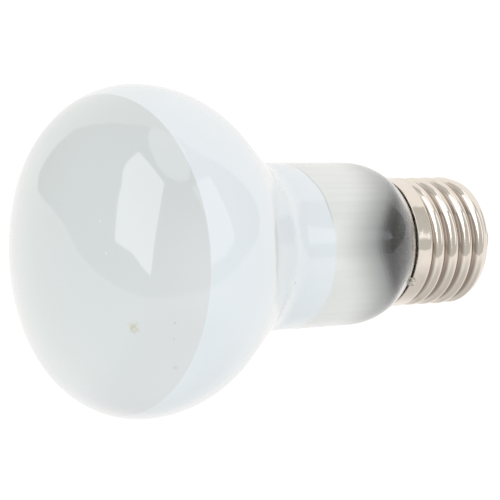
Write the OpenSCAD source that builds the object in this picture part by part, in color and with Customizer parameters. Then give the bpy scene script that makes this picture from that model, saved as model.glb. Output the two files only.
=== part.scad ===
// Incandescent reflector heat bulb with an E27 screw cap.
// +Z runs along the axis from the cap to the domed face, and Z 0 is the outer face of the centre contact.

/* [Glass bulb] */
// Widest diameter of the head
head_d = 63.5; // [61:0.5:66]
// Radius of the domed face
crown_r = 49.2; // [44:0.2:56]
// Radius where the face turns into the side of the head
rim_r = 16.1; // [14:0.1:21]
// Radius of the head just behind its widest circle
rear_r = 24; // [21:0.1:27]
// Angle between the cone behind the head and the axis
cone_angle = 40; // [38:0.5:48]
// Hollow fillet between the cone and the neck
throat_r = 7; // [1:0.1:8]
// Diameter of the neck where the cone meets it
neck_d = 33.3; // [32:0.1:35]
// How much narrower the neck is where its shoulder starts
neck_taper = 0.4; // [0:0.1:1]
// Length of the neck from the cone to the shoulder
neck_len = 22.8; // [20:0.1:28]
// Length from the start of the shoulder to the rim of the cap
shoulder_len = 9.2; // [8.6:0.1:11]
// Gap between the end of the shoulder and the shell, at the rim of the cap
rim_gap = 0.5; // [0.5:0.05:0.8]
// Thickness of the blown glass
glass_wall = 0.6; // [0.5:0.05:1]

/* [Seal inside the cap] */
// How much narrower the glass is where it is sealed than the skirt round it
seal_room = 5.7; // [5.4:0.05:6.5]
// Hollow fillet between the shoulder and the sealed end
seal_fillet = 2.5; // [1.5:0.1:3]
// Depth of the sealed end below the rim of the cap
seal_depth = 10; // [8:0.1:11]

/* [Screw cap] */
// Outer diameter of the plain skirt
skirt_d = 26.5; // [26.1:0.05:26.6]
// How far the crests of the thread lie inside the skirt's outer face
crest_step = 0.075; // [0.05:0.005:0.12]
// Distance between two turns of the thread
thread_pitch = 3.629; // [3.4:0.001:3.8]
// Radius of the rounded crests and roots
thread_round = 1.025; // [1:0.005:1.1]
// Angle at which a crest leaves the plane Z 0
thread_phase = 210; // [0:5:355]
// Length of the plain skirt
skirt_len = 3.2; // [3:0.1:5.6]
// Length of the shell from its rim to its rounded end
shell_len = 19.8; // [18:0.1:22]
// Radius of the rounded end of the shell
shell_end_r = 3; // [2.8:0.1:4]
// Thickness of the sheet metal
sheet = 0.3; // [0.2:0.05:0.4]

/* [Insulator and contact] */
// Height of the insulator and the contact below the shell
insulator_h = 5.2; // [4.4:0.1:6]
// Diameter of the insulator at its small end
insulator_tip_d = 12; // [11:0.1:13]
// Diameter of the centre contact
contact_d = 9.8; // [9:0.1:10.5]
// Thickness of the contact plate
contact_t = 0.4; // [0.3:0.05:0.5]
// Depth of the dish that holds the solder
dish_depth = 0.6; // [0.4:0.05:0.8]
// Diameter of the flat floor of that dish
dish_d = 4.8; // [4:0.1:5.4]
// Hole in the contact for the lead wire
contact_hole_d = 1.8; // [1.4:0.1:2.2]

/* [Glass stem] */
// Height of the stem from its flare to the top of its press
stem_len = 30; // [27:0.5:34]
// Outer diameter of the stem tube
stem_d = 11; // [10:0.1:11.6]
// Thickness of the stem tube
stem_wall = 1; // [0.8:0.05:1.2]
// Width of the flat lip at the edge of the flare
flare_lip = 0.9; // [0.6:0.1:1.6]
// Height of the flat press
press_h = 9; // [8:0.5:11]
// Width of the flat press
press_w = 11; // [10:0.1:12]
// Thickness of the flat press
press_t = 3.6; // [3:0.1:4.2]
// Height over which the round tube turns into the press
press_blend = 4; // [3:0.5:5]
// Distance between the two lead wires in the press
lead_spacing = 6.4; // [5.8:0.1:6.8]
// Outer diameter of the exhaust tube
exhaust_d = 4; // [3.4:0.1:4.4]
// Bore of the exhaust tube
exhaust_bore = 2.6; // [2:0.1:2.8]
// Height of the tipped-off end of the exhaust tube above the insulator
exhaust_clear = 1.2; // [0.8:0.1:2]
// Diameter of the glass rod that carries the filament supports
rod_d = 3.4; // [3:0.1:3.8]
// Diameter of the glass button at the top of the rod
button_d = 5.2; // [4.8:0.1:6]
// Height of that button
button_h = 4; // [3.5:0.1:5]

/* [Filament and wires] */
// Height of the filament above the rim of the cap
light_centre = 44; // [42:0.5:48]
// Radius of the ring that the filament is bent to
ring_r = 9; // [8:0.1:11]
// Outer radius of the filament's coil
coil_r = 0.5; // [0.4:0.05:0.7]
// Thickness of the coiled tungsten wire
filament_wire = 0.2; // [0.16:0.02:0.24]
// Number of turns in the filament's coil
coil_turns = 40; // [24:1:60]
// Angle of the open side of the filament's ring
ring_gap = 60; // [45:5:80]
// Distance of the glass button below the filament
button_drop = 6; // [5:0.5:8]
// Height above the press at which the inner leads bend outwards
lead_bend_h = 6; // [4:0.5:8]
// Thickness of the inner lead wires
inner_lead_d = 0.8; // [0.6:0.05:0.9]
// Thickness of the sealing wires in the press
seal_wire_d = 0.5; // [0.4:0.05:0.6]
// Thickness of the outer lead wires
outer_lead_d = 0.4; // [0.3:0.05:0.5]
// Thickness of the support wires
support_wire_d = 0.3; // [0.24:0.02:0.4]
// Number of support wires
support_count = 3; // [3:1:3]

/* [Cement and solder] */
// Distance of the cement below the rim of the cap
cement_drop = 1.2; // [1.2:0.1:1.6]
// Height of the cement ring
cement_h = 7.5; // [6:0.1:8.5]
// Angle of the soldered joint at the rim, seen from the face
side_angle = 232; // [180:1:280]
// Diameter of the solder blob at the rim
side_solder_d = 2; // [1.6:0.1:2.2]

/* [Hidden] */

$fn = 96;
// Gap left between pieces that are cemented, moulded or fused together
seat_gap = 0.05;
// Sides round a wire, and round the screw shell
wire_sides = 8;
shell_sides = 48;
// Rows of the screw shell along one turn of its thread
rows_per_turn = 8;

// Heights of the cap
shell_end_z = insulator_h;
rim_z = shell_end_z + shell_len;
skirt_low_z = rim_z - skirt_len;
end_round_z = shell_end_z + shell_end_r;
crest_r = skirt_d / 2 - crest_step;
end_hole_r = crest_r - shell_end_r;
// The thread runs out between these heights
runout_low_z = shell_end_z + 1.2;
runout_high_z = end_round_z;

// Depth of a thread whose round crests and roots run straight into each other
thread_depth = 2 * thread_round - sqrt(4 * thread_round ^ 2 - (thread_pitch / 2) ^ 2);
root_r = crest_r - thread_depth;

// Outline of the glass
head_r = head_d / 2;
neck_r = neck_d / 2;
neck_low_r = (neck_d - neck_taper) / 2;
seal_r = (skirt_d - seal_room) / 2;
taper_angle = atan((neck_r - neck_low_r) / neck_len);
shoulder_z = rim_z + shoulder_len;
throat_z = shoulder_z + neck_len;
cone_top_r = head_r - rear_r + rear_r * cos(cone_angle);
equator_z = throat_z + (cone_top_r - neck_r) / tan(cone_angle) + rear_r * sin(cone_angle);
crown_z = equator_z - sqrt((crown_r - rim_r) ^ 2 - (head_r - rim_r) ^ 2);
crown_turn = atan2(equator_z - crown_z, head_r - rim_r);
throat_tangent = throat_r * tan((cone_angle - taper_angle) / 2);
throat_c = [
    neck_r + throat_tangent * sin(cone_angle) + throat_r * cos(cone_angle),
    throat_z + throat_tangent * cos(cone_angle) - throat_r * sin(cone_angle)
];
// The shoulder is the arc that starts along the neck and ends at the gap to the rim
shoulder_w = neck_low_r - (skirt_d / 2 - sheet - rim_gap);
shoulder_r = (shoulder_w ^ 2 + shoulder_len ^ 2) / (2 * shoulder_w);
shoulder_c = [neck_low_r - shoulder_r * cos(taper_angle), shoulder_z + shoulder_r * sin(taper_angle)];
shoulder_turn = acos((seal_r + seal_fillet - shoulder_c.x) / (shoulder_r + seal_fillet));
seal_c = shoulder_c + (shoulder_r + seal_fillet) * [cos(shoulder_turn), -sin(shoulder_turn)];
seal_z = rim_z - seal_depth;

// Heights of the stem
press_top_z = seal_z + stem_len;
press_low_z = press_top_z - press_h;
tube_top_z = press_low_z - press_blend;
stem_r = stem_d / 2;
flare_r = seal_r - stem_r - flare_lip;
lead_x = lead_spacing / 2;
weld_h = 1.5;
exhaust_top_z = tube_top_z + 1;
insulator_top_z = shell_end_z + 2.4;
exhaust_tip_z = insulator_top_z + exhaust_clear;
button_z = rim_z + light_centre - button_drop;
filament_z = rim_z + light_centre;

// Place of each end of the filament's ring, in the stem's own plane
ring_end = [ring_r * sin(ring_gap / 2), -ring_r * cos(ring_gap / 2)];

// Radius of the wire's route up between the glass and the shell
rise_r = (seal_r + root_r - sheet) / 2 + 0.1;
cement_top_z = rim_z - cement_drop;

// Points on an arc from angle a0 to a1 in n steps, leaving out the last skip of them
function arc(c, r, a0, a1, n, skip = 0) =
    [for (i = [0:n - skip]) c + r * [cos(a0 + (a1 - a0) * i / n), sin(a0 + (a1 - a0) * i / n)]];

function backwards(list) = [for (i = [len(list) - 1:-1:0]) list[i]];

// Outline of the blown glass from the apex to the sealed end, moved inwards by inset
function glass_outline(inset) = concat(
    arc([0, crown_z], crown_r - inset, 90, crown_turn, 12, 1),
    arc([head_r - rim_r, equator_z], rim_r - inset, crown_turn, 0, 18, 1),
    arc([head_r - rear_r, equator_z], rear_r - inset, 0, -cone_angle, 14),
    arc(throat_c, throat_r + inset, 180 - cone_angle, 180 - taper_angle, 8),
    arc(shoulder_c, shoulder_r - inset, -taper_angle, -shoulder_turn, 16, 1),
    arc(seal_c, seal_fillet + inset, 180 - shoulder_turn, 180, 8),
    [[seal_r - inset, seal_z]]
);

// Distance of the thread's surface below its crest, at a height z and an angle round the axis
function thread_drop(z, angle) =
    let (turn = z / thread_pitch - (angle - thread_phase) / 360)
    let (s = abs(turn - round(turn)) * thread_pitch)
    let (near_root = thread_pitch / 2 - s)
    s < thread_pitch / 4
        ? thread_round - sqrt(thread_round ^ 2 - s ^ 2)
        : thread_depth - thread_round + sqrt(thread_round ^ 2 - near_root ^ 2);

// 0 at or below low, 1 at or above high, and a smooth step between
function ramp(v, low, high) =
    let (t = min(1, max(0, (v - low) / (high - low))))
    t * t * (3 - 2 * t);

function thread_share(z) =
    ramp(z, runout_low_z, runout_high_z) * (1 - ramp(z, skirt_low_z - thread_pitch / 2, skirt_low_z));

// Radius of the shell's outline at a height, before the thread is pressed into it
function shell_blank_r(z) =
    z >= end_round_z
        ? crest_r + (skirt_d / 2 - crest_r) * ramp(z, skirt_low_z - 1, skirt_low_z)
        : end_hole_r + sqrt(max(0, shell_end_r ^ 2 - (end_round_z - z) ^ 2));

// One point of the shell's sheet, moved inwards by inset across the sheet
function shell_point(z, angle, inset) =
    let (round_end = z < end_round_z)
    let (k = round_end ? (shell_end_r - inset) / shell_end_r : 1)
    let (blank = shell_blank_r(z))
    let (r = round_end ? end_hole_r + (blank - end_hole_r) * k : blank - inset)
    let (low = round_end ? end_round_z - (end_round_z - z) * k : z)
    let (drop = thread_drop(z, angle) * thread_share(z))
    [(r - drop) * cos(angle), (r - drop) * sin(angle), low];

// Closed skin over a grid of points that meets itself both ways, with faces pointing out
module ring_skin(rows, columns, points) {
    function id(i, j) = (i % rows) * columns + j % columns;
    polyhedron(
        points = points,
        faces = [
            for (i = [0:rows - 1], j = [0:columns - 1], half = [0, 1])
                half == 0
                    ? [id(i, j), id(i + 1, j), id(i + 1, j + 1)]
                    : [id(i, j), id(i + 1, j + 1), id(i, j + 1)]
        ]
    );
}

// Wire along a list of points, with the two directions that span its section at each point
module wire_skin(points, sideways, upwards, d) {
    n = len(points);
    polyhedron(
        points = [
            for (i = [0:n - 1], k = [0:wire_sides - 1])
                points[i] + d / 2 * (cos(360 * k / wire_sides) * sideways[i] + sin(360 * k / wire_sides) * upwards[i])
        ],
        faces = concat(
            [[for (k = [0:wire_sides - 1]) k]],
            [[for (k = [wire_sides - 1:-1:0]) (n - 1) * wire_sides + k]],
            [
                for (i = [0:n - 2], k = [0:wire_sides - 1], half = [0, 1])
                    let (a = i * wire_sides + k, b = i * wire_sides + (k + 1) % wire_sides)
                    half == 0 ? [a, a + wire_sides, b + wire_sides] : [a, b + wire_sides, b]
            ]
        )
    );
}

function unit(v) = v / norm(v);

// Direction of a flat route at one of its points
function heading(route, i) =
    unit(route[min(i + 1, len(route) - 1)] - route[max(i - 1, 0)]);

// Wire along a route of [outward, height] points in the XZ plane
module flat_wire(route, d) {
    wire_skin(
        [for (p = route) [p.x, 0, p.y]],
        [for (i = [0:len(route) - 1]) let (t = heading(route, i)) [t.y, 0, -t.x]],
        [for (p = route) [0, 1, 0]],
        d
    );
}

module glass_bulb() {
    color([0.86, 0.9, 0.91])
        rotate_extrude()
            polygon(concat(glass_outline(0), backwards(glass_outline(glass_wall))));
}

// Flared tube, flattened at its top round the sealing wires
module stem_tube() {
    inner_r = stem_r - stem_wall;
    flare_c = [stem_r + flare_r, seal_z + flare_r];
    color([0.8, 0.84, 0.84])
        rotate([0, 0, side_angle])
            difference() {
                union() {
                    rotate_extrude()
                        polygon(concat(
                            [[inner_r, tube_top_z]],
                            arc(flare_c, flare_r + stem_wall, 180, 270, 10),
                            [[seal_r, flare_c.y - flare_r - stem_wall], [seal_r, flare_c.y - flare_r]],
                            backwards(arc(flare_c, flare_r, 180, 270, 10)),
                            [[stem_r, tube_top_z]]
                        ));
                    hull() {
                        translate([0, 0, tube_top_z])
                            cylinder(h = 0.5, r = stem_r, $fn = 32);
                        for (side = [-1, 1])
                            translate([side * (press_w - press_t) / 2, 0, press_low_z])
                                cylinder(h = press_h, d = press_t, $fn = 24);
                    }
                }
                translate([0, 0, tube_top_z - 1])
                    cylinder(h = exhaust_top_z - tube_top_z + 1, r = inner_r);
                translate([0, 0, exhaust_top_z - 1])
                    cylinder(h = press_low_z - exhaust_top_z + 2.5, d = exhaust_bore / 2);
                translate([0, 0, press_low_z + 1.5])
                    rotate([90, 0, 0])
                        cylinder(h = press_t, d = exhaust_bore / 2);
                for (side = [-1, 1])
                    translate([side * lead_x, 0, 0]) {
                        translate([0, 0, exhaust_top_z - 1])
                            cylinder(h = press_low_z + weld_h - exhaust_top_z + 1, d = outer_lead_d + 2 * seat_gap);
                        translate([0, 0, press_low_z + weld_h - 0.1])
                            cylinder(h = press_h - 2 * weld_h + 0.2, d = seal_wire_d + 2 * seat_gap);
                        translate([0, 0, press_top_z - weld_h])
                            cylinder(h = weld_h + 1, d = inner_lead_d + 2 * seat_gap);
                    }
            }
}

// Thin tube through which the bulb was pumped and filled, drawn to a closed tip
module exhaust_tube() {
    outer_r = exhaust_d / 2;
    bore_r = exhaust_bore / 2;
    tip_h = 3.5;
    color([0.8, 0.84, 0.84])
        rotate([0, 0, side_angle])
            rotate_extrude()
                polygon([
                    [bore_r, exhaust_top_z],
                    [bore_r, exhaust_tip_z + tip_h],
                    [0, exhaust_tip_z + tip_h / 2],
                    [0, exhaust_tip_z],
                    [outer_r * 0.35, exhaust_tip_z + tip_h * 0.08],
                    [outer_r * 0.8, exhaust_tip_z + tip_h * 0.55],
                    [outer_r, exhaust_tip_z + tip_h],
                    [outer_r, exhaust_top_z]
                ]);
}

// Glass rod with the button that holds the support wires
module support_rod() {
    corner = 0.9;
    color([0.8, 0.84, 0.84])
        rotate([0, 0, side_angle])
            difference() {
                rotate_extrude()
                    polygon(concat(
                        [[0, press_top_z], [rod_d / 2, press_top_z], [rod_d / 2, button_z - button_h / 2]],
                        arc([button_d / 2 - corner, button_z - button_h / 2 + corner], corner, -90, 0, 6),
                        arc([button_d / 2 - corner, button_z + button_h / 2 - corner], corner, 0, 90, 6),
                        [[0, button_z + button_h / 2]]
                    ));
                for (i = [0:support_count - 1])
                    rotate([0, 0, support_angle(i)])
                        translate([support_root_x - seat_gap, 0, button_z])
                            rotate([0, 90, 0])
                                cylinder(h = button_d, d = support_wire_d + 2 * seat_gap);
            }
}

// Lead from the press up to one end of the filament, side 1 or -1
module inner_lead(side) {
    foot = [lead_x, 0];
    reach = norm(ring_end - foot);
    bend_z = press_top_z + lead_bend_h;
    color([0.72, 0.71, 0.68])
        rotate([0, 0, side_angle])
            mirror([side < 0 ? 1 : 0, 0, 0])
                translate([foot.x, 0, 0])
                    rotate([0, 0, atan2(ring_end.y - foot.y, ring_end.x - foot.x)])
                        flat_wire(
                            [
                                [0, press_top_z - weld_h + seat_gap],
                                [0, bend_z - 1],
                                [reach * 0.03, bend_z],
                                [reach * 0.97, filament_z - 3],
                                [reach, filament_z - 2],
                                [reach, filament_z + coil_r]
                            ],
                            inner_lead_d
                        );
}

module seal_wire(side) {
    color([0.72, 0.4, 0.28])
        rotate([0, 0, side_angle])
            translate([side * lead_x, 0, press_low_z + weld_h])
                cylinder(h = press_h - 2 * weld_h, d = seal_wire_d);
}

// Copper lead from the press round the sealed end and up to the rim of the shell
module outer_lead_side() {
    turn_z = seal_z - stem_wall - 0.7;
    color([0.78, 0.5, 0.36])
        rotate([0, 0, side_angle])
            flat_wire(
                [
                    [lead_x, press_low_z + weld_h - seat_gap],
                    [lead_x, turn_z + 1],
                    [lead_x + 0.3, turn_z + 0.3],
                    [lead_x + 1, turn_z],
                    [rise_r - 0.8, turn_z],
                    [rise_r - 0.2, turn_z + 0.3],
                    [rise_r, turn_z + 1],
                    [rise_r, cement_top_z - 4],
                    [skirt_d / 2 - sheet - outer_lead_d, cement_top_z - 0.5],
                    [skirt_d / 2 - sheet - outer_lead_d, rim_z - side_solder_d / 2 - seat_gap]
                ],
                outer_lead_d
            );
}

// Copper lead from the press to the hole in the centre contact
module outer_lead_centre() {
    color([0.78, 0.5, 0.36])
        rotate([0, 0, side_angle + 180])
            flat_wire(
                [
                    [lead_x, press_low_z + weld_h - seat_gap],
                    [lead_x, exhaust_tip_z + 3],
                    [lead_x * 0.95, exhaust_tip_z + 2],
                    [lead_x * 0.2, exhaust_tip_z - 2.5],
                    [0, exhaust_tip_z - 4],
                    [0, dish_depth + contact_t + seat_gap]
                ],
                outer_lead_d
            );
}

support_root_x = button_d / 2 - 1.3;

// Angle of a support wire, spread over the closed part of the ring
function support_angle(i) =
    -90 + ring_gap / 2 + (360 - ring_gap) * (i + 1) / (support_count + 1);

// Thin wire from the glass button to a loop round the filament's coil
module support_wire(i) {
    loop_r = coil_r + support_wire_d / 2 + seat_gap;
    color([0.6, 0.6, 0.6])
        rotate([0, 0, side_angle + support_angle(i)])
            flat_wire(
                concat(
                    [[support_root_x, button_z], [button_d / 2 + 1.2, button_z], [button_d / 2 + 1.8, button_z + 0.5]],
                    arc([ring_r, filament_z], loop_r, 215, -85, 10)
                ),
                support_wire_d
            );
}

// Coiled tungsten wire, bent to an open ring between the two inner leads
module filament() {
    steps = coil_turns * 6;
    mean_r = coil_r - filament_wire / 2;
    end_gap = asin((inner_lead_d / 2 + 0.15) / ring_r);
    start = -90 + ring_gap / 2 + end_gap;
    span = 360 - ring_gap - 2 * end_gap;
    function around(i) = start + span * i / steps;
    function outward(i) = [cos(around(i)), sin(around(i)), 0];
    function across(i) =
        cos(60 * i) * outward(i) + [0, 0, sin(60 * i)];
    function spot(i) = ring_r * outward(i) + [0, 0, filament_z] + mean_r * across(i);
    color([0.35, 0.35, 0.36])
        rotate([0, 0, side_angle])
            wire_skin(
                [for (i = [0:steps]) spot(i)],
                [for (i = [0:steps]) across(i)],
                [for (i = [0:steps]) unit(cross(unit(spot(i + 1) - spot(i - 1)), across(i)))],
                filament_wire
            );
}

// Nickel-plated sheet with the screw thread rolled into it
module screw_shell() {
    step = thread_pitch / rows_per_turn;
    thread_rows = floor((skirt_low_z - runout_low_z) / step);
    end_start = acos((end_round_z - runout_low_z + step / 2) / shell_end_r);
    heights = concat(
        [rim_z],
        [for (i = [0:thread_rows]) skirt_low_z - i * (skirt_low_z - runout_low_z) / thread_rows],
        [for (a = [end_start * 0.66, end_start * 0.33, 0]) end_round_z - shell_end_r * cos(a)]
    );
    rows = len(heights);
    color([0.78, 0.74, 0.69])
        ring_skin(
            2 * rows,
            shell_sides,
            [
                for (i = [0:2 * rows - 1], j = [0:shell_sides - 1])
                    i < rows
                        ? shell_point(heights[i], 360 * j / shell_sides, 0)
                        : shell_point(heights[2 * rows - 1 - i], 360 * j / shell_sides, sheet)
            ]
        );
}

// Cement between the shell and the sealed neck, with a groove for the side lead
module basing_cement() {
    wide_r = skirt_d / 2 - sheet - seat_gap;
    slim_r = root_r - sheet - 2 * seat_gap;
    low_z = cement_top_z - cement_h;
    step_z = skirt_low_z + 0.5;
    color([0.75, 0.72, 0.62])
        difference() {
            rotate_extrude()
                polygon([
                    [seal_r - 1, low_z],
                    [slim_r, low_z],
                    [slim_r, step_z],
                    [wide_r, step_z + 0.6],
                    [wide_r, cement_top_z],
                    [seal_r - 1, cement_top_z]
                ]);
            rotate_extrude()
                polygon(concat(glass_outline(-seat_gap), [[0, seal_z - 1], [0, crown_z]]));
            rotate([0, 0, side_angle])
                translate([rise_r - outer_lead_d / 2 - seat_gap, -outer_lead_d / 2 - seat_gap, low_z - 1])
                    cube([skirt_d, outer_lead_d + 2 * seat_gap, cement_h + 2]);
        }
}

// Black glass moulded into the end of the shell, with a funnel for the centre lead
module insulator() {
    tip_z = contact_t + 0.5;
    dish_top_r = dish_d / 2 + contact_t + 0.5;
    hold_r = shell_end_r - sheet - 2 * seat_gap;
    color([0.08, 0.08, 0.09])
        rotate_extrude()
            polygon(concat(
                [
                    [dish_top_r, tip_z],
                    [contact_d / 2 + seat_gap, tip_z],
                    [contact_d / 2 + seat_gap, contact_t / 2],
                    [insulator_tip_d / 2 - 0.3, contact_t / 2],
                    [insulator_tip_d / 2, contact_t / 2 + 0.4],
                    [end_hole_r - seat_gap, shell_end_z - 0.3],
                    [end_hole_r - seat_gap, end_round_z - hold_r]
                ],
                arc([end_hole_r, end_round_z], hold_r, -88, -58, 6),
                [
                    [end_hole_r + hold_r * cos(58), insulator_top_z],
                    [end_hole_r - 2, insulator_top_z],
                    [dish_top_r, dish_depth + contact_t + 0.9]
                ]
            ));
}

// Brass plate with a dish and a hole at its middle
module centre_contact() {
    edge = contact_d / 2;
    floor_r = dish_d / 2;
    color([0.8, 0.7, 0.45])
        rotate_extrude()
            polygon([
                [contact_hole_d / 2, dish_depth],
                [floor_r, dish_depth],
                [floor_r + 0.6, 0],
                [edge - 0.25, 0],
                [edge, 0.25],
                [edge, contact_t + 0.45],
                [edge - contact_t, contact_t + 0.45],
                [edge - contact_t, contact_t],
                [floor_r + 0.6, contact_t],
                [floor_r, dish_depth + contact_t],
                [contact_hole_d / 2, dish_depth + contact_t]
            ]);
}

// Dome of solder in the dish, with a plug in the hole
module contact_solder() {
    base_r = dish_d / 2 - 0.1;
    rise = dish_depth - 0.05;
    dome_r = (base_r ^ 2 + rise ^ 2) / (2 * rise);
    dome_turn = asin(base_r / dome_r);
    plug_r = contact_hole_d / 2 - seat_gap;
    color([0.82, 0.83, 0.84])
        rotate_extrude()
            polygon(concat(
                arc([0, dish_depth - rise + dome_r], dome_r, -90, -90 + dome_turn, 10),
                [[plug_r, dish_depth], [plug_r, dish_depth + contact_t], [0, dish_depth + contact_t]]
            ));
}

// Blob of solder that joins the side lead to the rim of the shell
module side_solder() {
    color([0.8, 0.78, 0.68])
        difference() {
            rotate([0, 0, side_angle])
                translate([skirt_d / 2 - sheet / 2, 0, rim_z])
                    sphere(d = side_solder_d);
            translate([0, 0, rim_z - side_solder_d])
                difference() {
                    cylinder(h = side_solder_d, r = skirt_d / 2 + seat_gap, $fn = 192);
                    translate([0, 0, -1])
                        cylinder(h = side_solder_d + 2, r = skirt_d / 2 - sheet - seat_gap, $fn = 192);
                }
            rotate_extrude()
                polygon(concat(glass_outline(-2 * seat_gap), [[0, seal_z - 1], [0, crown_z]]));
        }
}

glass_bulb();
stem_tube();
exhaust_tube();
support_rod();
inner_lead(1);  // inner_lead_side
inner_lead(-1);  // inner_lead_centre
seal_wire(1);  // seal_wire_side
seal_wire(-1);  // seal_wire_centre
outer_lead_side();
outer_lead_centre();
support_wire(0);  // support_wire_1
support_wire(1);  // support_wire_2
support_wire(2);  // support_wire_3
filament();
screw_shell();
basing_cement();
insulator();
centre_contact();
contact_solder();
side_solder();
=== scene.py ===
"""Reflector heat bulb with an E27 screw cap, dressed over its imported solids.

Everything is in metres, with +Z from the cap's contact to the domed face.
"""

import bmesh
import bpy
import numpy as np
from mathutils import Matrix


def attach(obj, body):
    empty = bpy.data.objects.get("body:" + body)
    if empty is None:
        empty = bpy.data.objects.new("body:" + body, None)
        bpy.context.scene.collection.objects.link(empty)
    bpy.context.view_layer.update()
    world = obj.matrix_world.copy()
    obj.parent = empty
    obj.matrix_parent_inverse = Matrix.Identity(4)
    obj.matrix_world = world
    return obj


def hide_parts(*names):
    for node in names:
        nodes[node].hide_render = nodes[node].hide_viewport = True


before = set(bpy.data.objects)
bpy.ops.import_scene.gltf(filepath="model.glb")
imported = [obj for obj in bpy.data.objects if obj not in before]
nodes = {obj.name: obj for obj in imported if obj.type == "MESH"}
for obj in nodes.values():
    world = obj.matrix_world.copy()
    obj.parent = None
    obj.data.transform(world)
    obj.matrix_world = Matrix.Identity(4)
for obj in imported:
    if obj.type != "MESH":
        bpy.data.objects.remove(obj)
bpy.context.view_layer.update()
mm = 0.001

# Camera: about 0.4 m from the head, level with the axis and looking 34 degrees down at it.
# The bulb lies on its side in the picture, so the camera's right side is the cap's side.
camera_data = bpy.data.cameras.new("photo_camera")
camera_data.sensor_width = 36
camera_data.lens = 152.425
camera_data.clip_start = 0.01
camera = bpy.data.objects.new("photo_camera", camera_data)
camera_right = (-0.0391081, -0.5665568, -0.8230941)
camera_up = (0.9992350, -0.0221739, -0.0322143)
camera_back = (0.0, -0.8237243, 0.5669906)
turn = Matrix((camera_right, camera_up, camera_back)).transposed().to_4x4()
camera.matrix_world = Matrix.Translation((-0.000525, -0.342682, 0.292769)) @ turn
bpy.context.scene.collection.objects.link(camera)
bpy.context.scene.camera = camera
bpy.context.scene.view_settings.view_transform = "Standard"


# Studio: a white room and a white floor far below the bulb, which hangs clear of it. Pale walls,
# a dim part on the camera's side and three softboxes before it show only as reflections, and
# the low and the high light only light the bulb.
def panel(name, corners, middle, colour, strength, reach=None, lower=None):
    """Rings of faces from a middle point to the corners, which give off an even light.

    With a reach, each point is put at that distance from the head, so that the panel is domed:
    point = head + reach * (point - head) / |point - head|.
    With a lower strength, the light falls to it smoothly towards -X, the picture's lower side.
    """
    rings = 8
    share = np.linspace(0, 1, rings + 1)[:, None, None]
    points = np.asarray(middle) * (1 - share) + np.asarray(corners)[None] * share
    if reach:
        head = np.array([0, 0, head_height])
        away = points - head
        points = head + reach * away / np.linalg.norm(away, axis=2, keepdims=True)
    count = len(corners)
    i, j = np.arange(rings)[:, None] * count, np.arange(count)[None, :]
    side = (j + 1) % count
    faces = np.stack([i + j, i + side, i + count + side, i + count + j], axis=-1).reshape(-1, 4)
    mesh = bpy.data.meshes.new(name)
    mesh.from_pydata(points.reshape(-1, 3).tolist(), [], faces.tolist())
    glow = bpy.data.materials.new(name)
    glow.use_nodes = True
    tree = glow.node_tree
    tree.nodes.clear()
    lamp = tree.nodes.new("ShaderNodeEmission")
    lamp.inputs["Color"].default_value = (*colour, 1)
    lamp.inputs["Strength"].default_value = strength
    if lower:
        split = tree.nodes.new("ShaderNodeSeparateXYZ")
        fall = tree.nodes.new("ShaderNodeMapRange")
        fall.interpolation_type = "SMOOTHSTEP"
        for key, value in (
            ("From Min", -1.3), ("From Max", -0.6), ("To Min", lower), ("To Max", strength),
        ):
            fall.inputs[key].default_value = value
        tree.links.new(tree.nodes.new("ShaderNodeTexCoord").outputs["Object"], split.inputs[0])
        tree.links.new(split.outputs[0], fall.inputs["Value"])
        tree.links.new(fall.outputs["Result"], lamp.inputs["Strength"])
    out = tree.nodes.new("ShaderNodeOutputMaterial")
    tree.links.new(lamp.outputs[0], out.inputs["Surface"])
    mesh.materials.append(glow)
    obj = bpy.data.objects.new(name, mesh)
    bpy.context.scene.collection.objects.link(obj)
    return obj


head_height = 0.08
world = bpy.data.worlds.new("white_room")
bpy.context.scene.world = world
world.use_nodes = True
world.node_tree.nodes["Background"].inputs["Color"].default_value = (1, 1, 1, 1)
world.node_tree.nodes["Background"].inputs["Strength"].default_value = 1.02

floor_reach = 6.0
floor_z = -1.4
floor = panel(
    "floor",
    [(-floor_reach, -floor_reach, floor_z), (floor_reach, -floor_reach, floor_z),
     (floor_reach, floor_reach, floor_z), (-floor_reach, floor_reach, floor_z)],
    (0, 0, floor_z), (1, 1, 1), 1.06,
)

dim_room = [
    (1.21, -0.03, 0.25), (1.12, 0.27, 0.48), (0.93, 0.62, 0.57), (0.74, 0.83, 0.56),
    (0.60, 0.96, 0.51), (0.50, 1.04, 0.44), (0.40, 1.10, 0.39), (0.34, 1.13, 0.38),
    (0.29, 1.11, 0.47), (0.26, 0.95, 0.78), (0.19, 0.80, 0.97), (0.11, 0.72, 1.05),
    (0.01, 0.64, 1.11), (-0.09, 0.51, 1.18), (-0.22, 0.32, 1.23), (-0.32, 0.12, 1.25),
    (-0.45, -0.25, 1.19), (-0.56, -0.71, 0.91), (-0.57, -1.01, 0.49), (-0.51, -1.10, -0.11),
    (-0.37, -0.98, -0.56), (-0.11, -0.74, -0.89), (0.09, -0.38, -1.07), (0.24, -0.21, -1.09),
    (0.39, -0.22, -1.05), (0.63, -0.36, -0.89), (0.88, -0.45, -0.63), (1.05, -0.51, -0.30),
]
upper_softbox = [
    (1.00, -0.10, 0.78), (0.80, -0.69, 0.71), (0.43, -0.69, 1.00), (0.07, -0.58, 1.16),
    (-0.26, -0.45, 1.19), (0.09, 0.22, 1.27), (0.26, 0.22, 1.25), (0.45, 0.23, 1.18),
    (0.69, 0.16, 1.07), (0.89, 0.01, 0.92),
]
lower_softbox = [
    (0.77, -0.96, 0.12), (0.82, -0.74, -0.44), (0.56, -0.85, -0.59), (0.33, -0.89, -0.69),
    (0.09, -0.90, -0.74), (-0.08, -1.03, -0.58), (-0.23, -1.19, -0.14), (0.15, -1.21, -0.10),
    (0.42, -1.15, -0.08), (0.61, -1.06, 0.01),
]
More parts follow.
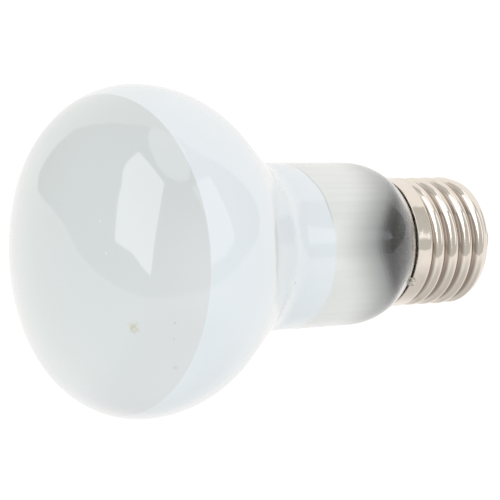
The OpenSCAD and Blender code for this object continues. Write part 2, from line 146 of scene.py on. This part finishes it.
side_softbox = [
    (1.21, -0.03, 0.25), (1.21, -0.15, 0.07), (1.17, -0.36, -0.04), (1.07, -0.58, -0.07),
    (0.97, -0.75, -0.02), (0.86, -0.87, 0.12), (0.84, -0.85, 0.36), (0.88, -0.68, 0.60),
    (0.97, -0.47, 0.67), (1.10, -0.22, 0.58), (1.18, -0.08, 0.40),
]
room_r = 1.5
room_ring = [
    (room_r * np.cos(a), room_r * np.sin(a), head_height) for a in np.radians(np.arange(0, 360, 7.5))
]
room_lower = 0.62
low_light = [
    (0.11, 0.79, 0.89), (0.11, 0.33, 1.15), (0.16, -0.15, 1.18), (0.14, -0.73, 0.94),
    (0.11, -1.10, 0.46), (0.04, -1.20, 0.03), (-0.53, -1.06, -0.20), (-0.95, -0.60, -0.44),
    (-1.05, -0.22, -0.53), (-1.18, 0.01, -0.24), (-1.16, 0.28, 0.15), (-0.92, 0.54, 0.54),
    (-0.44, 0.75, 0.83),
]
high_light = [
    (1.02, 0.30, -0.20), (1.05, -0.35, 0.30), (0.80, -0.80, 0.20), (0.62, -0.85, -0.40),
    (0.60, -0.45, -0.85), (0.80, 0.05, -0.75),
]
for name, corners, middle, colour, strength, reach, gives_light in (
    ("pale_room_above", room_ring, (0, 0, 1.5), (1, 0.985, 0.97), 0.98, 1.46, False),
    ("pale_room_below", room_ring, (0, 0, -1.4), (1, 0.985, 0.97), 0.98, 1.46, False),
    ("dim_room", dim_room, (0.62, -0.80, 0.80), (0.96, 0.96, 0.93), 0.62, 1.38, False),
    ("upper_softbox", upper_softbox, (0.62, -0.30, 1.02), (1, 0.98, 1), 2.05, 1.25, False),
    ("lower_softbox", lower_softbox, (0.36, -1.12, -0.36), (0.98, 0.98, 1), 1.2, 1.25, False),
    ("side_softbox", side_softbox, (1.10, -0.50, 0.25), (0.98, 0.99, 1), 1.3, 1.28, False),
    ("low_light", low_light, (-0.90, -0.55, 0.58), (0.98, 1, 1), 1.21, 1.2, True),
    ("high_light", high_light, (1.0, -0.35, -0.35), (1, 1, 1), 1.4, 1.2, True),
):
    lower = room_lower if corners is room_ring else None
    light = panel(name, corners, middle, colour, strength, reach, lower)
    light.visible_camera = False
    light.visible_diffuse = gives_light
    light.visible_glossy = not gives_light

# Glass bulb: one blown piece from the domed face to the sealed end inside the cap, 0.6 mm thick.
# Inside it has a pearl coat on the face and a white coat behind it, then a hazy mirror film,
# which fades out at the clear, smoky shoulder. Before the clear part the film is painted near
# black: its own smoky grey, darkened with painted shade of the dark inside.
head_r = 31.75 * mm
crown_r = 49.2 * mm
rim_turn_r = 16.1 * mm
rear_r = 24 * mm
cone_angle = np.radians(40)
throat_r = 7 * mm
neck_r = 16.65 * mm
neck_low_r = 16.45 * mm
neck_len = 22.8 * mm
# The solid has 12.45 mm here. The skin is fuller, which narrows the slit at the rim for the look.
shoulder_end_r = 12.8 * mm
shoulder_len = 9.2 * mm
glass_wall = 0.6 * mm
seal_r = 10.4 * mm
seal_fillet = 2.5 * mm
seal_depth = 10 * mm
rim_z = 25 * mm
face_colour = (0.609, 0.645, 0.640)
# Lighter face colour, painted as a highlight near the rear on the upper side.
face_highlight_colour = (0.682, 0.693, 0.703)
rear_colour = (0.725, 0.770, 0.795)
film_colour = (0.72, 0.73, 0.705)
smoke_colour = (0.82, 0.82, 0.83)
stain_colour = (0.45, 0.38, 0.22)
# Near black: the thin film's own smoky grey, darkened with painted shade of the dark inside.
smoky_shaded_film_colour = (0.085, 0.087, 0.094)
# Near black instead of bright aluminium: painted shade of the dark inside.
shaded_mirror_colour = (0.10, 0.10, 0.10)
glass_ior = 1.52
clear_z = 34.0 * mm
film_end_z = 39.0 * mm


def arc(centre, radius, start, end, count):
    """Points at even angles on a circle, from the start angle to the end angle in radians."""
    a = np.linspace(start, end, count)
    return np.column_stack([centre[0] + radius * np.cos(a), centre[1] + radius * np.sin(a)])


def without_doubles(outline):
    """The outline's points, less those that lie on the point before them."""
    step = np.linalg.norm(np.diff(outline, axis=0), axis=1)
    return outline[np.concatenate([[True], step > 1e-7])]


def turned(name, outline, around):
    """Turn an outline of (radius, height) points about Z: x = r cos a, y = r sin a, z = height."""
    outline = without_doubles(np.asarray(outline, float))
    a = np.arange(around) * 2 * np.pi / around
    r, z = outline[:, 0][:, None], outline[:, 1][:, None]
    grid = np.stack([r * np.cos(a), r * np.sin(a), z + 0 * a], axis=-1)
    return skin(name, grid)


def skin(name, grid, closed=False):
    """Mesh over a grid of points that meets itself round its columns, and over its rows if closed.

    Rows that shrink to a point are merged into it, and the faces are turned outwards.
    """
    rows, around = grid.shape[:2]
    i = np.arange(rows if closed else rows - 1)[:, None]
    j = np.arange(around)[None, :]
    down, side = (i + 1) % rows, (j + 1) % around
    quads = np.stack(
        [i * around + j, down * around + j, down * around + side, i * around + side], axis=-1
    ).reshape(-1, 4)
    mesh = bpy.data.meshes.new(name)
    mesh.from_pydata(grid.reshape(-1, 3).tolist(), [], quads.tolist())
    obj = bpy.data.objects.new(name, mesh)
    bpy.context.scene.collection.objects.link(obj)
    tidy_skin(mesh)
    return obj


def tidy_skin(mesh):
    """Merge points closer than 1 micrometre, turn the faces outwards and shade them smoothly."""
    work = bmesh.new()
    work.from_mesh(mesh)
    bmesh.ops.remove_doubles(work, verts=work.verts, dist=1e-6)
    bmesh.ops.recalc_face_normals(work, faces=work.faces)
    work.to_mesh(mesh)
    work.free()
    mesh.polygons.foreach_set("use_smooth", np.ones(len(mesh.polygons), bool))
    mesh.update()


taper = np.arctan((neck_r - neck_low_r) / neck_len)
shoulder_z = rim_z + shoulder_len
throat_z = shoulder_z + neck_len
cone_top_r = head_r - rear_r + rear_r * np.cos(cone_angle)
equator_z = throat_z + (cone_top_r - neck_r) / np.tan(cone_angle) + rear_r * np.sin(cone_angle)
crown_z = equator_z - np.sqrt((crown_r - rim_turn_r) ** 2 - (head_r - rim_turn_r) ** 2)
crown_turn = np.arctan2(equator_z - crown_z, head_r - rim_turn_r)
throat_tangent = throat_r * np.tan((cone_angle - taper) / 2)
throat_c = (
    neck_r + throat_tangent * np.sin(cone_angle) + throat_r * np.cos(cone_angle),
    throat_z + throat_tangent * np.cos(cone_angle) - throat_r * np.sin(cone_angle),
)
shoulder_w = neck_low_r - shoulder_end_r
shoulder_r = (shoulder_w ** 2 + shoulder_len ** 2) / (2 * shoulder_w)
shoulder_c = (neck_low_r - shoulder_r * np.cos(taper), shoulder_z + shoulder_r * np.sin(taper))
shoulder_turn = np.arccos((seal_r + seal_fillet - shoulder_c[0]) / (shoulder_r + seal_fillet))
seal_c = (
    shoulder_c[0] + (shoulder_r + seal_fillet) * np.cos(shoulder_turn),
    shoulder_c[1] - (shoulder_r + seal_fillet) * np.sin(shoulder_turn),
)
seal_z = rim_z - seal_depth


def glass_outline(inset):
    """Arcs of the dome, its rim, the rear, the throat, the shoulder and the seal, moved inwards."""
    return np.vstack([
        arc((0, crown_z), crown_r - inset, np.pi / 2, crown_turn, 40),
        arc((head_r - rim_turn_r, equator_z), rim_turn_r - inset, crown_turn, 0, 40),
        arc((head_r - rear_r, equator_z), rear_r - inset, 0, -cone_angle, 30),
        arc(throat_c, throat_r + inset, np.pi - cone_angle, np.pi - taper, 20),
        np.column_stack([
            np.linspace(neck_r, neck_low_r, 30)[1:-1] - inset,
            np.linspace(throat_z - throat_tangent, shoulder_z, 30)[1:-1],
        ]),
        arc(shoulder_c, shoulder_r - inset, -taper, -shoulder_turn, 30),
        arc(seal_c, seal_fillet + inset, np.pi - shoulder_turn, np.pi, 14),
        [[seal_r - inset, seal_z]],
    ])


outer = glass_outline(0)
inner = glass_outline(glass_wall)
outer[0, 0] = 0
inner[0, 0] = 0
bulb = turned("bulb_glass_skin", np.vstack([outer, inner[::-1]]), 256)


def finish(name, colour=(0.8, 0.8, 0.8), roughness=0.5, metallic=0.0):
    """New material with one Principled shader: its name, plain colour, roughness and metalness."""
    mat = bpy.data.materials.new(name)
    mat.use_nodes = True
    shader = mat.node_tree.nodes["Principled BSDF"]
    shader.inputs["Base Color"].default_value = (*colour, 1)
    shader.inputs["Roughness"].default_value = roughness
    shader.inputs["Metallic"].default_value = metallic
    return mat, mat.node_tree, shader


def plug(tree, source, socket):
    """Set a socket from a plain number or colour, or link it to another node's output."""
    if isinstance(source, bpy.types.NodeSocket):
        tree.links.new(source, socket)
    elif isinstance(source, (tuple, list)) and len(socket.default_value) == 4:
        socket.default_value = (*source[:3], 1)
    else:
        socket.default_value = source


def calc(tree, operation, *values):
    """Result of a Math node for numbers or sockets."""
    made = tree.nodes.new("ShaderNodeMath")
    made.operation = operation
    for source, socket in zip(values, made.inputs):
        plug(tree, source, socket)
    return made.outputs[0]


def rise(tree, signal, low, high, bottom=0.0, top=1.0):
    """Smooth step from bottom to top while the signal goes from low to high."""
    made = tree.nodes.new("ShaderNodeMapRange")
    made.interpolation_type = "SMOOTHSTEP"
    for source, key in ((signal, "Value"), (low, "From Min"), (high, "From Max"),
                        (bottom, "To Min"), (top, "To Max")):
        plug(tree, source, made.inputs[key])
    return made.outputs["Result"]


def mixed(tree, share, first, second):
    """Colour between the first and the second, by a share from 0 to 1."""
    made = tree.nodes.new("ShaderNodeMix")
    made.data_type = "RGBA"
    plug(tree, share, made.inputs[0])
    plug(tree, first, made.inputs[6])
    plug(tree, second, made.inputs[7])
    return made.outputs[2]


def place(tree):
    """The point's own coordinates on the piece, as a vector and as x, y and z."""
    coords = tree.nodes.new("ShaderNodeTexCoord").outputs["Object"]
    split = tree.nodes.new("ShaderNodeSeparateXYZ")
    tree.links.new(coords, split.inputs[0])
    return coords, split.outputs[0], split.outputs[1], split.outputs[2]


def grain(tree, coords, per_metre, detail=3.0, stretch=(1, 1, 1)):
    """Noise from 0 to 1 with so many cells in a metre, stretched along some axes."""
    lay = tree.nodes.new("ShaderNodeMapping")
    lay.inputs["Scale"].default_value = stretch
    tree.links.new(coords, lay.inputs["Vector"])
    noise = tree.nodes.new("ShaderNodeTexNoise")
    noise.inputs["Scale"].default_value = per_metre
    noise.inputs["Detail"].default_value = detail
    tree.links.new(lay.outputs[0], noise.inputs["Vector"])
    return noise.outputs[0]


def relief(tree, height, depth, shader):
    """Bump of so many metres under the shader's normal."""
    bump = tree.nodes.new("ShaderNodeBump")
    bump.inputs["Distance"].default_value = depth
    tree.links.new(height, bump.inputs["Height"])
    tree.links.new(bump.outputs[0], shader.inputs["Normal"])


def spot(tree, coords, centre, radius, edge):
    """1 within a radius of a point, falling to 0 over a soft edge, all in metres."""
    gap = tree.nodes.new("ShaderNodeVectorMath")
    gap.operation = "DISTANCE"
    tree.links.new(coords, gap.inputs[0])
    gap.inputs[1].default_value = centre
    return rise(tree, gap.outputs["Value"], radius, radius + edge, 1.0, 0.0)


glass_mat, tree, shader = finish("blown_bulb_glass", rear_colour, 0.06)
coords, x, y, z = place(tree)
lean = calc(tree, "ADD", calc(tree, "MULTIPLY", x, 0.0372), calc(tree, "MULTIPLY", y, 0.1237))
face_side = calc(tree, "SUBTRACT", z, calc(tree, "ADD", lean, 0.09086))
on_face = rise(tree, face_side, -0.00012, 0.00012)
lean = calc(tree, "ADD", calc(tree, "MULTIPLY", x, 0.0365), calc(tree, "MULTIPLY", y, 0.0934))
wobble = calc(tree, "MULTIPLY", calc(tree, "SUBTRACT", grain(tree, coords, 120), 0.5), 0.0012)
coat_side = calc(tree, "SUBTRACT", z, calc(tree, "ADD", calc(tree, "ADD", lean, wobble), 0.04959))
on_coat = rise(tree, coat_side, -0.0003, 0.0003)
sides = calc(tree, "ADD", rise(tree, x, 0.0, 0.0155, 0.0, 0.0085),
             rise(tree, x, -0.0155, 0.0, 0.0071, 0.0))
smoke = calc(tree, "ADD", z, sides)
on_clear = rise(tree, smoke, clear_z, film_end_z, 1.0, 0.0)
streaks = grain(tree, coords, 900, 4, (1, 1, 0.03))
cloud = grain(tree, coords, 60, 2)
pearl = mixed(tree, cloud, (0.597, 0.636, 0.627), face_colour)
# A lighter patch on the face near the rear, on the upper side only: a painted highlight, the soft
# inner reflection.
face_highlight_share = calc(tree, "MULTIPLY", rise(tree, face_side, 0.0, 0.013, 1.0, 0.0),
                 rise(tree, x, -0.004, 0.014, 1.0, 0.0))
pearl = mixed(tree, face_highlight_share, pearl, face_highlight_colour)
film = mixed(tree, rise(tree, streaks, 0.35, 0.65), (0.69, 0.70, 0.675), film_colour)
# Towards the shoulder the film turns near black: partly its own smoky thinning, partly painted shade
# of the dark inside.
film = mixed(tree, rise(tree, smoke, 0.0325, 0.0490, 1.0, 0.0), film, smoky_shaded_film_colour)
colour = mixed(tree, on_coat, film, rear_colour)
# A dark line along the coat's edge, on the upper side only: painted shadow of the coat's edge.
edge = calc(tree, "MULTIPLY", rise(tree, calc(tree, "ABSOLUTE", coat_side), 0.0, 0.0003, 1.0, 0.0),
            rise(tree, x, 0.002, 0.008, 0.0, 0.5))
colour = mixed(tree, edge, colour, (0.33, 0.35, 0.36))
colour = mixed(tree, on_face, colour, pearl)
colour = mixed(tree, rise(tree, smoke, 0.0325, 0.0360, 1.0, 0.0), colour, smoke_colour)
stain = spot(tree, coords, (-0.0134, -0.0209, 0.0969), 0.0003, 0.0013)
stain = calc(tree, "MULTIPLY", stain, rise(tree, grain(tree, coords, 1100), 0.42, 0.62))
colour = mixed(tree, calc(tree, "MULTIPLY", stain, 0.55), colour, stain_colour)
for centre, size, share in (
    ((-0.0129, -0.0266, 0.0919), 0.00008, 0.3), ((-0.0158, -0.0253, 0.0914), 0.00008, 0.22),
    ((-0.0211, -0.0223, 0.0895), 0.0003, 0.2), ((-0.0071, -0.0160, 0.0578), 0.0002, 0.5),
):
    speck = calc(tree, "MULTIPLY", spot(tree, coords, centre, size, 0.0003), share)
    colour = mixed(tree, speck, colour, stain_colour)
for centre in ((0.0057, -0.0166, 0.1005), (-0.0001, -0.0180, 0.1004)):
    colour = mixed(tree, spot(tree, coords, centre, 0.00005, 0.0002), colour, (0.80, 0.80, 0.78))
plug(tree, colour, shader.inputs["Base Color"])
plug(tree, on_clear, shader.inputs["Transmission Weight"])
rough = calc(tree, "ADD", calc(tree, "MULTIPLY", calc(tree, "SUBTRACT", 1.0, on_coat), 0.36), 0.06)
rough = calc(tree, "MULTIPLY", rough, calc(tree, "SUBTRACT", 1.0, on_clear))
plug(tree, calc(tree, "ADD", rough, 0.01), shader.inputs["Roughness"])
shader.inputs["IOR"].default_value = glass_ior
shader.inputs["Coat Weight"].default_value = 1.0
shader.inputs["Coat Roughness"].default_value = 0.035
shader.inputs["Coat IOR"].default_value = glass_ior
bulb.data.materials.append(glass_mat)

# The inside of the same glass: the mirror film, painted near black as shade of the dark inside, and
# clear glass where the film ends.
film_mat, tree, shader = finish("inside_mirror_film", shaded_mirror_colour, 0.2, 1.0)
coords, x, y, z = place(tree)
clear = rise(tree, z, clear_z, film_end_z, 1.0, 0.0)
plug(tree, mixed(tree, clear, shaded_mirror_colour, smoke_colour), shader.inputs["Base Color"])
plug(tree, calc(tree, "SUBTRACT", 1.0, clear), shader.inputs["Metallic"])
plug(tree, clear, shader.inputs["Transmission Weight"])
plug(tree, rise(tree, grain(tree, coords, 300), 0.3, 0.7, 0.01, 0.05), shader.inputs["Roughness"])
shader.inputs["IOR"].default_value = glass_ior
bulb.data.materials.append(film_mat)
centres = np.empty(len(bulb.data.polygons) * 3)
normals = np.empty(len(bulb.data.polygons) * 3)
bulb.data.polygons.foreach_get("center", centres)
bulb.data.polygons.foreach_get("normal", normals)
centres = centres.reshape(-1, 3)
normals = normals.reshape(-1, 3)
inner_middle_z = equator_z - 4 * mm
inside_of = centres - [0, 0, inner_middle_z]
faces_in = np.where(centres[:, 2] > inner_middle_z, (inside_of * normals).sum(1),
                    (centres[:, :2] * normals[:, :2]).sum(1)) < 0
bulb.data.polygons.foreach_set("material_index", faces_in.astype(np.int32))
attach(bulb, "root")
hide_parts("glass_bulb")


# Stem: flared glass tube with its flat press, the exhaust tube drawn to a tip, and the rod
# with its button. All three are clear glass, worked in a flame.
def dress(names, mat):
    """Give the named solids this one finish."""
    for name in names:
        nodes[name].data.materials.clear()
        nodes[name].data.materials.append(mat)


stem_mat, tree, shader = finish("clear_stem_glass", (0.93, 0.96, 0.95), 0.02)
shader.inputs["Transmission Weight"].default_value = 1.0
shader.inputs["IOR"].default_value = glass_ior
coords, x, y, z = place(tree)
relief(tree, grain(tree, coords, 350, 2), 0.00015, shader)
dress(("stem_tube", "exhaust_tube", "support_rod"), stem_mat)


# Leads: nickel wires inside the bulb, copper-skinned wires in the press and copper wires
# below it. Each is drawn wire, so its fine scratches run along it.
def wire_finish(name, colour, roughness):
    """Drawn metal: its roughness and colour vary in long streaks along Z."""
    mat, tree, shader = finish(name, colour, roughness, 1.0)
    coords, x, y, z = place(tree)
    streak = grain(tree, coords, 6000, 3, (1, 1, 0.05))
    plug(tree, rise(tree, streak, 0.2, 0.8, roughness - 0.1, roughness + 0.12),
         shader.inputs["Roughness"])
    dull = tuple(c * 0.7 for c in colour)
    plug(tree, mixed(tree, rise(tree, streak, 0.3, 0.9), colour, dull), shader.inputs["Base Color"])
    return mat


wires = {
    "inner_lead_side": ("drawn_nickel", (0.62, 0.60, 0.56), 0.3),
    "inner_lead_centre": ("drawn_nickel", (0.62, 0.60, 0.56), 0.3),
    "seal_wire_side": ("sealing_copper", (0.55, 0.22, 0.12), 0.4),
    "seal_wire_centre": ("sealing_copper", (0.55, 0.22, 0.12), 0.4),
    "outer_lead_side": ("bare_copper", (0.85, 0.50, 0.32), 0.3),
    "outer_lead_centre": ("bare_copper", (0.85, 0.50, 0.32), 0.3),
    "support_wire_1": ("drawn_molybdenum", (0.50, 0.50, 0.51), 0.35),
    "support_wire_2": ("drawn_molybdenum", (0.50, 0.50, 0.51), 0.35),
    "support_wire_3": ("drawn_molybdenum", (0.50, 0.50, 0.51), 0.35),
    "filament": ("coiled_tungsten", (0.20, 0.20, 0.21), 0.45),
}
made_wires = {}
for name, (kind, colour, roughness) in wires.items():
    if kind not in made_wires:
        made_wires[kind] = wire_finish(kind, colour, roughness)
    dress((name,), made_wires[kind])

# Screw shell: nickel-plated brass sheet, 0.3 mm thick, with the round E27 thread rolled into it
# between a plain skirt and a rounded end.
crest_r = 13.175 * mm
skirt_r = 13.25 * mm
skirt_len = 3.2 * mm
shell_end_z = 5.2 * mm
shell_end_r = 3 * mm
sheet = 0.3 * mm
pitch = 3.629 * mm
thread_round = 1.025 * mm
thread_phase = 210
skirt_low_z = rim_z - skirt_len
end_round_z = shell_end_z + shell_end_r
end_hole_r = crest_r - shell_end_r
thread_depth = 2 * thread_round - np.sqrt(4 * thread_round ** 2 - (pitch / 2) ** 2)


def ramp(value, low, high):
    """Smooth step: t squared times (3 - 2t), with t the share of the way from low to high."""
    t = np.clip((value - low) / (high - low), 0, 1)
    return t * t * (3 - 2 * t)


def shell_skin(inset, heights, angles):
    """Blank of skirt, straight part and rounded end, less the depth of the thread.

    The thread's depth repeats with height less the turned angle: an arc of the thread's radius
    bulges out at each crest, and an equal arc bulges in at each root.
    """
    z, a = heights[:, None], angles[None, :]
    along = z / pitch - (np.degrees(a) - thread_phase) / 360
    s = np.abs(along - np.round(along)) * pitch
    near_root = pitch / 2 - s
    crest = thread_round - np.sqrt(np.maximum(thread_round ** 2 - s ** 2, 0))
    root = thread_depth - thread_round + np.sqrt(np.maximum(thread_round ** 2 - near_root ** 2, 0))
    drop = np.where(s < pitch / 4, crest, root)
    drop = drop * ramp(z, shell_end_z + 1.2 * mm, end_round_z)
    drop = drop * (1 - ramp(z, skirt_low_z - pitch / 2, skirt_low_z))
    below = np.maximum(end_round_z - z, 0)
    scale = (shell_end_r - inset) / shell_end_r
    straight = crest_r + (skirt_r - crest_r) * ramp(z, skirt_low_z - 1 * mm, skirt_low_z) - inset
    rounded = end_hole_r + np.sqrt(np.maximum(shell_end_r ** 2 - below ** 2, 0)) * scale
    r = np.where(z < end_round_z, rounded, straight) - drop
    height = np.where(z < end_round_z, end_round_z - below * scale, z) + 0 * a
    return np.stack([r * np.cos(a), r * np.sin(a), height], axis=-1)


heights = np.concatenate([
    np.linspace(rim_z, end_round_z, 112),
    end_round_z - shell_end_r * np.sin(np.linspace(0, np.pi / 2, 26)[1:]),
])
angles = np.arange(256) * 2 * np.pi / 256
outside = shell_skin(0, heights, angles)
inside = shell_skin(sheet, heights, angles)
shell = skin("nickel_shell", np.concatenate([outside, inside[::-1]]), closed=True)
nickel, tree, shader = finish("bright_nickel_plate", (0.80, 0.755, 0.70), 0.12, 1.0)
coords, x, y, z = place(tree)
haze = grain(tree, coords, 250, 4)
fine = grain(tree, coords, 2600, 3)
plug(tree, calc(tree, "ADD", rise(tree, haze, 0.35, 0.75, 0.06, 0.14),
                rise(tree, fine, 0.4, 0.8, 0.0, 0.05)), shader.inputs["Roughness"])
squares = calc(tree, "ADD", calc(tree, "MULTIPLY", x, x), calc(tree, "MULTIPLY", y, y))
out_r = calc(tree, "SQRT", squares)
plate = mixed(tree, rise(tree, haze, 0.45, 0.8), (0.85, 0.78, 0.70), (0.75, 0.67, 0.58))
# Under 12.1 mm from the axis, in the thread's roots, on the rounded end and inside the sheet, the
# plate is painted dark brown: painted shade in the hollows.
plug(tree, mixed(tree, rise(tree, out_r, 0.0121, 0.0126), (0.40, 0.33, 0.275), plate),
     shader.inputs["Base Color"])
relief(tree, grain(tree, coords, 700, 3), 0.00002, shader)
shell.data.materials.append(nickel)
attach(shell, "root")
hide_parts("screw_shell")

# Cement: the dry, grainy ring that holds the glass in the shell.
cement_mat, tree, shader = finish("capping_cement", (0.55, 0.50, 0.38), 0.9)
coords, x, y, z = place(tree)
grit = grain(tree, coords, 2500, 5)
plug(tree, mixed(tree, rise(tree, grit, 0.3, 0.7), (0.42, 0.37, 0.27), (0.62, 0.57, 0.45)),
     shader.inputs["Base Color"])
relief(tree, grit, 0.0001, shader)
dress(("basing_cement",), cement_mat)

# Insulator: black glass moulded into the end of the shell, glossy with a few flow marks.
black, tree, shader = finish("black_moulded_glass", (0.012, 0.012, 0.014), 0.12)
coords, x, y, z = place(tree)
flow = grain(tree, coords, 500, 4)
plug(tree, rise(tree, flow, 0.35, 0.75, 0.08, 0.3), shader.inputs["Roughness"])
plug(tree, mixed(tree, flow, (0.008, 0.008, 0.010), (0.022, 0.022, 0.026)),
     shader.inputs["Base Color"])
relief(tree, flow, 0.00008, shader)
dress(("insulator",), black)

# Centre contact: a pressed brass plate with a dish and a hole for the lead.
brass, tree, shader = finish("pressed_brass", (0.78, 0.62, 0.34), 0.28, 1.0)
coords, x, y, z = place(tree)
tarnish = grain(tree, coords, 600, 4)
plug(tree, mixed(tree, rise(tree, tarnish, 0.4, 0.75), (0.80, 0.65, 0.37), (0.52, 0.38, 0.20)),
     shader.inputs["Base Color"])
plug(tree, rise(tree, tarnish, 0.3, 0.8, 0.2, 0.45), shader.inputs["Roughness"])
dress(("centre_contact",), brass)

# Solder: the dome in the contact's dish, and the small blob that joins the side lead to the rim.
solder, tree, shader = finish("dull_solder", (0.62, 0.60, 0.55), 0.35, 1.0)
coords, x, y, z = place(tree)
skin_marks = grain(tree, coords, 1500, 4)
plug(tree, mixed(tree, rise(tree, skin_marks, 0.35, 0.7), (0.72, 0.70, 0.64), (0.48, 0.44, 0.36)),
     shader.inputs["Base Color"])
plug(tree, rise(tree, skin_marks, 0.3, 0.7, 0.22, 0.5), shader.inputs["Roughness"])
relief(tree, skin_marks, 0.00008, shader)
dress(("contact_solder", "side_solder"), solder)
